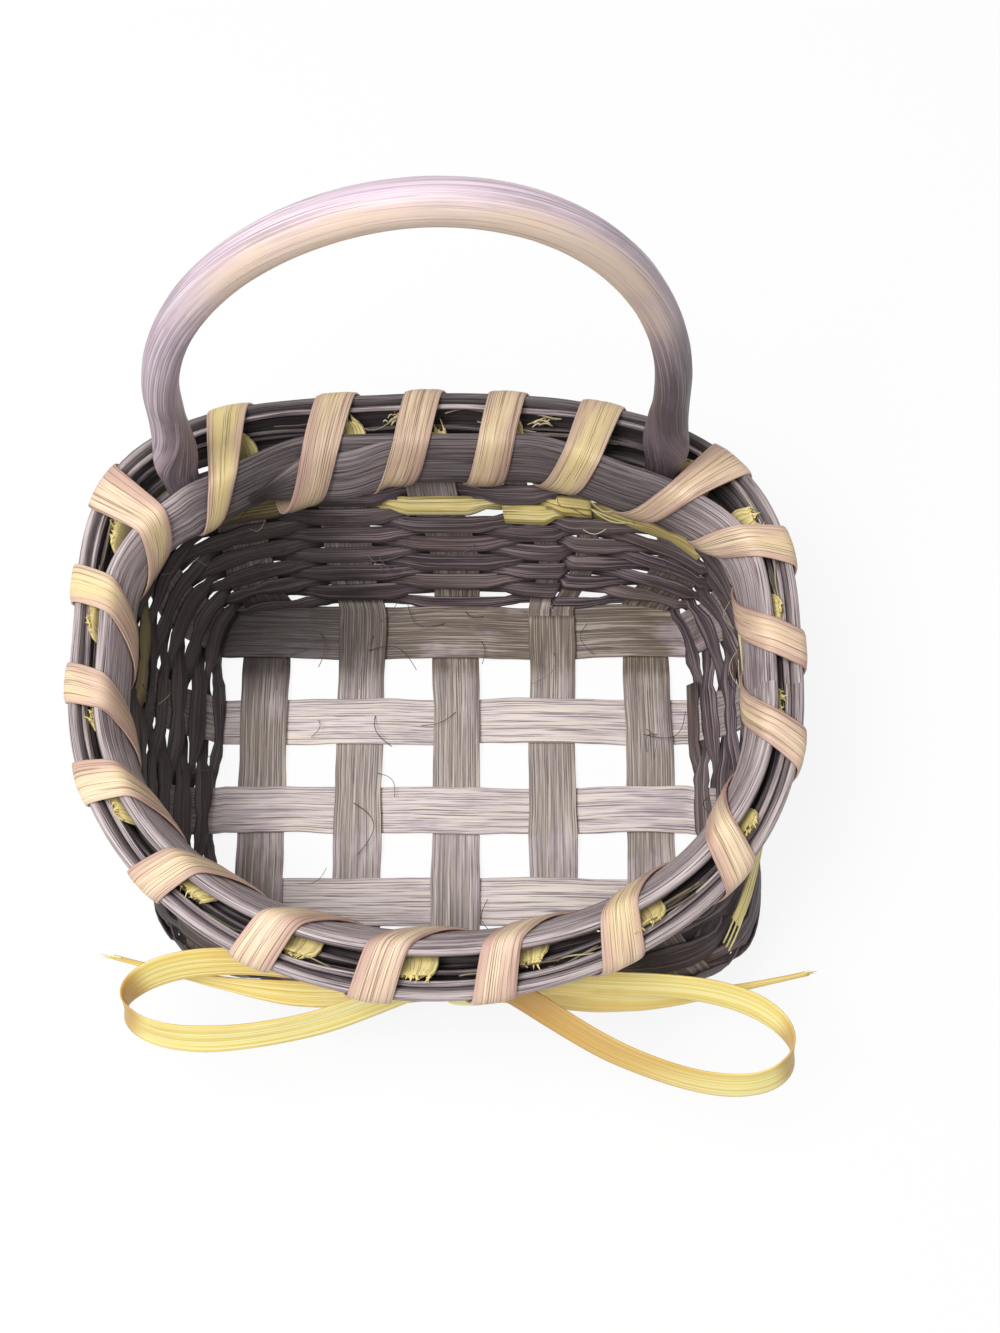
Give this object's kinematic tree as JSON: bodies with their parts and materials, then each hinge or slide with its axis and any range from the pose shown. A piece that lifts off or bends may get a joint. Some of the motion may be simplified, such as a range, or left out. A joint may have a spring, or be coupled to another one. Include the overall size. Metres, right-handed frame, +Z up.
{
  "type": "woven reed basket",
  "caption": "Small hand-woven flat-reed basket with an open plain-weave base, lashed double rim, bent hoop handle and a reed bow on the front.",
  "frame": {"origin": "bottom centre of the whole object's box, on the surface that the base rests on", "axes": "+Z up, the bow and the front of the basket toward -Y, +X to the right when the bow faces the viewer"},
  "size_m": [0.1822, 0.173, 0.1838],
  "materials": {
    "stake_reed": "dyed flat reed, dry and matt, lilac-grey with pale lengthwise streaks",
    "dark_reed": "dyed narrow reed, dark purple-brown, matt",
    "accent_reed": "dyed narrow reed, mustard yellow, matt",
    "rim_reed": "dyed flat-oval reed, grey-lilac, finely ribbed, matt",
    "lashing_reed": "flat reed, tan to cream with a pinkish brown stain, matt",
    "handle_wood": "steam-bent wood, pink-lilac dye worn to tan, satin",
    "bow_reed": "flat reed, lemon yellow, satin"
  },
  "bodies": {
    "root": {"stake_long_1": "stake_reed", "stake_long_2": "stake_reed", "stake_long_3": "stake_reed", "stake_long_4": "stake_reed", "stake_long_5": "stake_reed", "stake_cross_1": "stake_reed", "stake_cross_2": "stake_reed", "stake_cross_3": "stake_reed", "stake_cross_4": "stake_reed", "weaver_spiral": "dark_reed", "weaver_accent": "accent_reed", "weaver_rim_row": "dark_reed", "rim_inner": "rim_reed", "rim_outer": "rim_reed", "rim_filler": "rim_reed", "rim_lashing": "lashing_reed", "handle": "handle_wood", "bow_loop_left": "bow_reed", "bow_loop_right": "bow_reed", "bow_tail_left": "bow_reed", "bow_tail_right": "bow_reed", "bow_knot": "bow_reed"}
  },
  "joints": []
}
